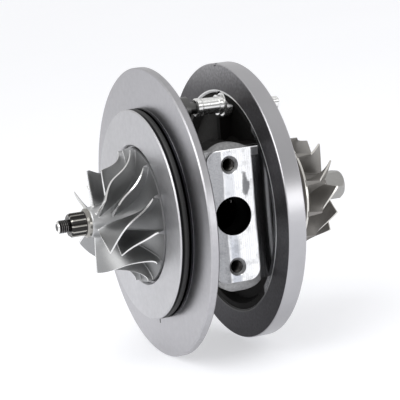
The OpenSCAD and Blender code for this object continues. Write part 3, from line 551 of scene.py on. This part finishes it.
FINISHES = {
    "cast_housing": cast_housing(),
    "backplate_aluminium": turned_aluminium(),
    "wheel_aluminium": casting("compressor_casting", (0.29, 0.292, 0.294), (0.37, 0.372, 0.374),
                               0.36, 0.46, lit_core_r=8.5),
    "turbine_alloy": casting("turbine_casting", (0.20, 0.190, 0.178), (0.34, 0.326, 0.308),
                             0.40, 0.52, metallic=0.45),
    "shaft_steel": shaft_ground(),
    "nut_steel": nut_black(),
    "polished_steel": polished_steel(),
    "crank_steel": plain_steel("crank_steel", (0.10, 0.10, 0.10), (0.18, 0.18, 0.175),
                               0.30, 0.42),
    "screw_steel": plain_steel("screw_steel", (0.26, 0.26, 0.26), (0.40, 0.40, 0.40), 0.26, 0.38),
    "sheet_steel": plain_steel("sheet_steel", (0.34, 0.32, 0.29), (0.48, 0.46, 0.43), 0.28, 0.40),
    "spring_steel": plain_steel("spring_steel", (0.14, 0.14, 0.15), (0.24, 0.24, 0.25),
                                0.26, 0.36),
    "seal_iron": plain_steel("seal_iron", (0.18, 0.18, 0.19), (0.28, 0.28, 0.29), 0.26, 0.36),
    "bearing_bronze": plain_steel("bearing_bronze", (0.52, 0.36, 0.16), (0.66, 0.50, 0.26),
                                  0.22, 0.32),
    "ring_rubber": rubber(),
}
THREAD_FINISH = thread_black()
BORE_THREAD_FINISH = plain_steel("bore_thread", (0.06, 0.058, 0.055), (0.20, 0.19, 0.18),
                                 0.20, 0.32)
# Bright ground metal on the blade tips, and a painted highlight on the blades' rounded free ends
WHEEL_EDGE_AND_HIGHLIGHT_FINISH = casting("compressor_edge_and_highlight", (0.76, 0.76, 0.75), (0.88, 0.88, 0.87), 0.18, 0.26)
TURBINE_EDGE_AND_HIGHLIGHT_FINISH = casting("turbine_edge_and_highlight", (0.66, 0.64, 0.60), (0.80, 0.78, 0.74), 0.24, 0.34)
TURBINE_NOSE_FINISH = casting("turbine_nose", (0.34, 0.335, 0.325), (0.50, 0.495, 0.48),
                              0.34, 0.46)
SMOOTH_ANGLE = math.radians(32)

for part in frame["record"]["subparts"]:
    node = frame["nodes"][part["node"]]
    node.data.materials.clear()
    node.data.materials.append(FINISHES[part["material_slot"]])
    node.data.shade_smooth()
    node.data.set_sharp_from_angle(angle=SMOOTH_ANGLE)


def add_piece(name, points, faces, finishes, body, finish_of_face=None):
    """A new mesh with the given finishes that rides on a body."""
    mesh = bpy.data.meshes.new(name)
    mesh.from_pydata(points, [], faces)
    for finish in finishes:
        mesh.materials.append(finish)
    if finish_of_face:
        mesh.polygons.foreach_set("material_index", finish_of_face)
    mesh.validate()
    mesh.shade_smooth()
    mesh.set_sharp_from_angle(angle=SMOOTH_ANGLE)
    piece = bpy.data.objects.new(name, mesh)
    bpy.context.scene.collection.objects.link(piece)
    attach(piece, body)
    return piece


# Wheels: the blades of the CAD model as finer lofts, with fillets at their roots

LOFT_STEPS = 44
HUB_STEPS = 44
TURN_STEPS = 144
# Rows of a blade, as shares of its fillet, then their number from the fillet to the tip
ROOT_ROWS = (0.0, 0.08, 0.25, 0.55, 1.0)
TIP_ROWS = 9
ROOT_FILLET = 0.4
# Largest fillet and depth of the blade's foot in the hub, as shares of the blade's height
FILLET_SHARE = 0.35
ROOT_SINK = 0.07
# Places of the columns that round the edge at a blade's free end, as angles
EDGE_ANGLES = (25, 50, 72, 86)
EDGE_SPAN = 0.014
# A wheel's finishes, by their place in its list
# The second is bright ground metal; on the blades' rounded free ends its brightness is a painted
# highlight
CAST, GROUND_AND_HIGHLIGHT, NOSE = 0, 1, 2
FINISH_OF_KIND = {"turned": CAST, "ground": GROUND_AND_HIGHLIGHT, "hex": NOSE}
# The balance cut on the compressor wheel's nose: its middle, half length and flat
CUT_X = -26.5
CUT_HALF = 0.9
CUT_Z = -5.75
# The compressor wheel's nose: the edge at its front and the steps of its slight taper
NOSE_EDGE = 0.5
NOSE_RISE = 0.1
NOSE_STEP = 0.3
NOSE_STEP_RISE = 0.015
NOSE_STEPS = 6
# The turbine's back and its hexagonal nose, whose front is turned off
BACK_STEP = 0.5
HEX_START = 0.6
HEX_STEP = 0.5
HEX_STEPS = 15
HEX_END = 1.6
HEX_END_STEP = 0.2
HEX_END_FALL = 0.15
HEX_END_STEPS = 9
# A solid wheel's profile ends just beside the axis
AXIS_R = 0.05


def bell(start, end, u):
    """A quarter of an ellipse between two points, each a station and a radius."""
    return (start[0] + (end[0] - start[0]) * (1.0 - math.cos(math.pi / 2 * u)),
            start[1] + (end[1] - start[1]) * math.sin(math.pi / 2 * u))


def wheel_hub(u):
    return bell((RIM_FRONT_X, WHEEL_R), (INLET_ROOT_X, WHEEL_NOSE_R), u)


def wheel_tip(u):
    x = WHEEL_OUTLET_X + (INLET_TIP_X - WHEEL_OUTLET_X) * max(u, 0.0) ** BLADE_POWER
    left = 1.0 - min(1.0, (WHEEL_OUTLET_X - x) / WHEEL_ARC)
    return x, WHEEL_R - (WHEEL_R - WHEEL_INLET_R) * math.sqrt(1.0 - left * left)


def wheel_turn(u):
    v = max(u, 0.0) ** BLADE_POWER
    share = sum(term * v ** (i + 1) for i, term in enumerate(TURN_TERMS))
    return math.radians(BLADE_WRAP * share)


def turbine_hub(u):
    return bell((TURBINE_RIM_X, TURBINE_R), (TURBINE_HUB_X, TURBINE_HUB_R), u)


def turbine_tip(u):
    return bell((TURBINE_TIP_X, TURBINE_R), (TURBINE_OUT_X, TURBINE_OUT_R), u)


def turbine_turn(u):
    return math.radians(-TURBINE_WRAP * max(u, 0.0) ** 2)


def blade_middle(lines, u, s):
    """A point of a blade's middle surface: u runs along the blade and s from hub to tip."""
    hub, tip, turn = (line(u) for line in lines)
    x = hub[0] * (1.0 - s) + tip[0] * s
    radius = hub[1] * (1.0 - s) + tip[1] * s
    return Vector((x, radius * math.cos(turn), radius * math.sin(turn)))


def blade_normal(lines, u, s, d=0.01):
    along = blade_middle(lines, u + d, s) - blade_middle(lines, u - d, s)
    across = blade_middle(lines, u, s + d) - blade_middle(lines, u, s - d)
    return along.cross(across).normalized()


def blade_loft(lines, root_t, tip_t, last_u):
    """Points, faces and finishes of a blade with a filleted root, flat tip and round free end."""
    columns = [(last_u * (1.0 - EDGE_SPAN) * i / LOFT_STEPS, 1.0) for i in range(LOFT_STEPS + 1)]
    for angle in map(math.radians, EDGE_ANGLES):
        columns.append((last_u * (1.0 - EDGE_SPAN * (1.0 - math.sin(angle))), math.cos(angle)))
    points = []
    for u, share in columns:
        hub, tip = lines[0](u), lines[1](u)
        height = math.hypot(tip[0] - hub[0], tip[1] - hub[1])
        fillet = min(ROOT_FILLET, FILLET_SHARE * height)
        rows = [-ROOT_SINK] + [row * fillet / height for row in ROOT_ROWS]
        first = rows[-1]
        rows += [first + (1.0 - first) * k / TIP_ROWS for k in range(1, TIP_ROWS + 1)]
        sides = ([], [])
        for s in rows:
            above = min(max(s, 0.0) * height, fillet)
            flare = fillet - math.sqrt(fillet ** 2 - (fillet - above) ** 2)
            half = share * ((root_t + (tip_t - root_t) * max(s, 0.0)) / 2 + flare)
            middle, normal = blade_middle(lines, u, s), blade_normal(lines, u, s)
            sides[0].append(middle - normal * half)
            sides[1].append(middle + normal * half)
        points += sides[0] + sides[1][::-1]
    ring = len(points) // len(columns)
    faces, finishes = [], []
    for i in range(len(columns) - 1):
        for k in range(ring):
            a, b = i * ring + k, i * ring + (k + 1) % ring
            faces.append((a, a + ring, b + ring, b))
            # Tip faces are ground; the rounded free end is painted bright as a highlight
            finishes.append(GROUND_AND_HIGHLIGHT if i >= LOFT_STEPS or k == ring // 2 - 1 else CAST)
    last = (len(columns) - 1) * ring
    for k in range(ring // 2 - 1):
        faces.append((k, k + 1, ring - 2 - k, ring - 1 - k))
        faces.append((last + ring - 1 - k, last + ring - 2 - k, last + k + 1, last + k))
        finishes += [CAST, GROUND_AND_HIGHLIGHT]
    return points, faces, finishes


def in_cut(x, r, angle):
    """True for a point of the turned hub that the balance cut takes away."""
    return abs(x - CUT_X) < CUT_HALF and r * math.sin(angle) < CUT_Z


def wheel(name, node, slot, other_finishes, profile, blades, corner_r=None, cut=False):
    """A turned hub with blades, each given as lines, thicknesses, end and angle.

    A profile's point has a station, a radius and its kind: "turned", "ground" or "hex".
    """
    points, faces, finishes = [], [], []
    count = len(profile)
    for k in range(TURN_STEPS):
        angle = math.tau * k / TURN_STEPS
        for x, r, kind in profile:
            if kind == "hex":
                # The hexagonal nose: a turned profile cut by six flats
                across = (angle % (math.pi / 3)) - math.pi / 6
                r = min(r, corner_r * math.cos(math.pi / 6) / math.cos(across))
            if cut and in_cut(x, r, angle):
                r = CUT_Z / math.sin(angle)
            points.append(Vector((x, r * math.cos(angle), r * math.sin(angle))))
        for i in range(count):
            j, other = (i + 1) % count, (k + 1) % TURN_STEPS
            faces.append((k * count + i, k * count + j, other * count + j, other * count + i))
            x, r, kind = profile[i]
            ground = cut and in_cut(x, r, angle + math.pi / TURN_STEPS)
            finishes.append(GROUND_AND_HIGHLIGHT if ground else FINISH_OF_KIND[kind])
    for lines, root_t, tip_t, last_u, angle in blades:
        turned = Matrix.Rotation(math.radians(angle), 3, "X")
        blade_points, blade_faces, blade_finishes = blade_loft(lines, root_t, tip_t, last_u)
        base = len(points)
        points += [turned @ p for p in blade_points]
        faces += [tuple(base + i for i in face) for face in blade_faces]
        finishes += blade_finishes
    piece = add_piece(name, [p * MM for p in points], faces, [FINISHES[slot], *other_finishes],
                      "rotor", finish_of_face=finishes)
    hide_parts(node)


wheel_lines = (wheel_hub, wheel_tip, wheel_turn)
wheel_profile = [(WHEEL_NOSE_X, WHEEL_NOSE_R - NOSE_EDGE, "turned")]
wheel_profile += [(WHEEL_NOSE_X + NOSE_EDGE + NOSE_STEP * i,
                   WHEEL_NOSE_R - NOSE_RISE + NOSE_STEP_RISE * i, "turned")
                  for i in range(NOSE_STEPS)]
wheel_profile += [(*wheel_hub(1.0 - i / HUB_STEPS), "turned") for i in range(HUB_STEPS + 1)]
wheel_profile += [(RIM_BACK_X, WHEEL_R, "turned"), (WHEEL_BACK_X, WHEEL_BACK_R, "turned"),
                  (WHEEL_BACK_X, WHEEL_BORE_R, "turned"), (WHEEL_NOSE_X, WHEEL_BORE_R, "turned")]
wheel_blades = []
for i in range(2 * FULL_BLADES):
    last_u = SPLITTER_SHARE ** (1.0 / BLADE_POWER) if i % 2 else 1.0
    wheel_blades.append((wheel_lines, BLADE_ROOT_T, BLADE_TIP_T, last_u,
                         BLADE_PHASE + i * 180.0 / FULL_BLADES))
wheel("compressor_wheel_fine", "compressor_wheel", "wheel_aluminium", [WHEEL_EDGE_AND_HIGHLIGHT_FINISH],
      wheel_profile, wheel_blades, cut=True)

turbine_lines = (turbine_hub, turbine_tip, turbine_turn)
turbine_profile = [(TURBINE_BACK_X - BACK_STEP, AXIS_R, "turned"),
                   (TURBINE_BACK_X - BACK_STEP, TURBINE_BACK_R, "turned"),
                   (TURBINE_BACK_X, TURBINE_R, "ground")]
turbine_profile += [(*turbine_hub(i / HUB_STEPS), "turned") for i in range(HUB_STEPS + 1)]
turbine_profile += [(TURBINE_HUB_X + HEX_START + HEX_STEP * i, TURBINE_NOSE_R, "hex")
                    for i in range(HEX_STEPS)]
turbine_profile += [(TURBINE_END_X - HEX_END + HEX_END_STEP * i,
                     TURBINE_NOSE_R - HEX_END_FALL * i, "hex") for i in range(HEX_END_STEPS)]
turbine_profile.append((TURBINE_END_X, AXIS_R, "turned"))
turbine_blades = [(turbine_lines, TURBINE_ROOT_T, TURBINE_TIP_T, 1.0,
                   TURBINE_PHASE + i * 360.0 / TURBINE_BLADES) for i in range(TURBINE_BLADES)]
wheel("turbine_wheel_fine", "turbine_wheel", "turbine_alloy",
      [TURBINE_EDGE_AND_HIGHLIGHT_FINISH, TURBINE_NOSE_FINISH], turbine_profile, turbine_blades,
      corner_r=TURBINE_NOSE_R)


# Threads, which the solids leave plain

THREAD_STEPS = 40
# Half widths of a ridge at its foot and crest, as shares of the pitch
RIDGE_FOOT = 0.46
RIDGE_CREST = 0.08
# A ridge rises and falls over this share of the thread's length at each end
RIDGE_RUN_OUT = 1 / 8
# How far a ridge's foot lies inside the metal
RIDGE_SINK = 0.02


def helix_thread(name, start, axis, length, root_r, crest_r, pitch, finish, body):
    """A helical ridge from root_r to crest_r round an axis."""
    forward = Vector(axis).normalized()
    side = forward.orthogonal().normalized()
    other = forward.cross(side)
    origin = Vector(start)
    profile = ((root_r, -RIDGE_FOOT), (crest_r, -RIDGE_CREST),
               (crest_r, RIDGE_CREST), (root_r, RIDGE_FOOT))
    turns = length / pitch
    count = int(turns * THREAD_STEPS)
    points = []
    for i in range(count + 1):
        share = i / count
        angle = math.tau * turns * share
        outward = side * math.cos(angle) + other * math.sin(angle)
        rise = min(1.0, share / RIDGE_RUN_OUT, (1.0 - share) / RIDGE_RUN_OUT)
        for r, offset in profile:
            radius = root_r + (r - root_r) * rise
            along = min(max(length * share + offset * pitch, 0.0), length)
            points.append((origin + forward * along + outward * radius) * MM)
    width = len(profile)
    faces = []
    for i in range(count):
        for k in range(width - 1):
            a = i * width + k
            faces.append((a, a + 1, a + width + 1, a + width))
    add_piece(name, points, faces, [finish], body)


helix_thread("shaft_thread", (SHAFT_TIP + 0.5, 0, 0), (1, 0, 0), NUT_FRONT - SHAFT_TIP - 0.6,
             SHAFT_THREAD_R - RIDGE_SINK, SHAFT_THREAD_R + 0.32, 0.8,
             THREAD_FINISH, "rotor")
for name, side in (("drain_thread_top", 1), ("drain_thread_low", -1)):
    helix_thread(name, (DRAIN_X, -PAD_Y + 1.0, side * DRAIN_PITCH / 2), (0, 1, 0), 10.0,
                 THREAD_CORE_R + RIDGE_SINK, THREAD_CORE_R - 0.4, 1.0,
                 BORE_THREAD_FINISH, "housing")
helix_thread("inlet_thread", (INLET_X, INLET_Y - 0.6, 0), (0, -1, 0), 11.0,
             INLET_R + RIDGE_SINK, INLET_R - 0.5, 1.25,
             BORE_THREAD_FINISH, "housing")


# Floor, light and camera

# The part stands on its two rims, so the floor runs under both
FRONT_REST = Vector((3.0, 0.0, -PLATE_R)) * MM
REAR_REST = Vector((41.6, 0.0, -FLANGE_R)) * MM
FLOOR_HALF = 12.0
PAPER_COLOURS = ((0.52, 0.525, 0.54), (0.55, 0.555, 0.57))
PAPER_GLOW = (0.97, 0.975, 1.0, 1.0)
PAPER_GLOW_STRENGTH = 0.54

floor_slope = math.atan2(REAR_REST.z - FRONT_REST.z, REAR_REST.x - FRONT_REST.x)
floor_mesh = bpy.data.meshes.new("floor")
corners = [(sx * FLOOR_HALF, sy * FLOOR_HALF, 0) for sx, sy in ((-1, -1), (1, -1), (1, 1), (-1, 1))]
floor_mesh.from_pydata(corners, [], [(0, 1, 2, 3)])
floor = bpy.data.objects.new("floor", floor_mesh)
floor.matrix_world = Matrix.Translation(FRONT_REST) @ Matrix.Rotation(-floor_slope, 4, "Y")
bpy.context.scene.collection.objects.link(floor)
paper = Shader("paper")
paper_colour = paper.tint(paper.noise(4.0), *PAPER_COLOURS)
floor_mesh.materials.append(paper.finish(paper_colour, 0.75, metallic=0.0))
# The paper glows a little, as on a lit table, so that shadows stay pale
paper.surface.inputs["Emission Color"].default_value = PAPER_GLOW
paper.surface.inputs["Emission Strength"].default_value = PAPER_GLOW_STRENGTH

# The room is light all round and dimmer towards its open front, as between soft boxes
ROOM_FRONT = (-0.36, -0.92, 0.16)
ROOM_LIGHT = 0.76
ROOM_DIM = 0.32
# The dimming starts and ends at these cosines of the angle from the front
ROOM_FADE = (0.45, 0.97)

world = bpy.data.worlds.new("studio")
bpy.context.scene.world = world
world.use_nodes = True
room, room_links = world.node_tree.nodes, world.node_tree.links
background = room["Background"]
background.inputs["Color"].default_value = (1.0, 1.0, 1.0, 1.0)
direction = room.new("ShaderNodeTexCoord")
facing = room.new("ShaderNodeVectorMath")
facing.operation = "DOT_PRODUCT"
facing.inputs[1].default_value = ROOM_FRONT
fade = room.new("ShaderNodeMapRange")
fade.interpolation_type = "SMOOTHSTEP"
fade.inputs["From Min"].default_value, fade.inputs["From Max"].default_value = ROOM_FADE
fade.inputs["To Min"].default_value = ROOM_LIGHT
fade.inputs["To Max"].default_value = ROOM_DIM
room_links.new(direction.outputs["Generated"], facing.inputs[0])
room_links.new(facing.outputs["Value"], fade.inputs["Value"])
room_links.new(fade.outputs["Result"], background.inputs["Strength"])


def area_light(name, place, target, size, power):
    """A soft light of some width and height that points at a target; places in metres."""
    lamp = bpy.data.lights.new(name, "AREA")
    lamp.shape = "RECTANGLE"
    lamp.size, lamp.size_y = size
    lamp.energy = power
    light = bpy.data.objects.new(name, lamp)
    light.location = place
    light.rotation_euler = (Vector(target) - Vector(place)).to_track_quat("-Z", "Y").to_euler()
    bpy.context.scene.collection.objects.link(light)


area_light("front_light", (0.45, -0.95, 0.08), (0.03, 0.0, 0.0), (0.45, 0.24), 0.85)
area_light("upper_light", (0.0, -0.80, 0.50), (0.03, 0.0, 0.0), (0.25, 0.20), 0.4)
area_light("left_light", (-0.95, -0.35, 0.55), (0.0, 0.0, 0.0), (0.7, 0.7), 4.0)
area_light("top_light", (-0.40, -0.22, 0.95), (0.02, 0.0, 0.0), (0.6, 0.6), 3.2)

# The photograph's viewing angle, fitted to the rims, the boss and the drain pad
CAMERA_PLACE = Vector((-258.05, -657.93, 117.69)) * MM
VIEW_AZIMUTH = math.radians(23.088)
VIEW_ELEVATION = math.radians(9.174)
VIEW_ROLL = math.radians(-4.950)
SENSOR = 36.0
LENS = 156.43

a, e, r = VIEW_AZIMUTH, VIEW_ELEVATION, VIEW_ROLL
level = Vector((math.cos(a), -math.sin(a), 0.0))
upright = Vector((math.sin(a) * math.sin(e), math.cos(a) * math.sin(e), math.cos(e)))
forward = Vector((math.sin(a) * math.cos(e), math.cos(a) * math.cos(e), -math.sin(e)))
right = math.cos(r) * level + math.sin(r) * upright
up = -math.sin(r) * level + math.cos(r) * upright
facing_camera = Matrix((right, up, -forward)).transposed().to_4x4()
camera = bpy.data.objects.new("camera", bpy.data.cameras.new("camera"))
camera.matrix_world = Matrix.Translation(CAMERA_PLACE) @ facing_camera
camera.data.sensor_width = SENSOR
camera.data.lens = LENS
camera.data.clip_start = 0.01
bpy.context.scene.collection.objects.link(camera)
bpy.context.scene.camera = camera
bpy.context.scene.view_settings.view_transform = "Standard"
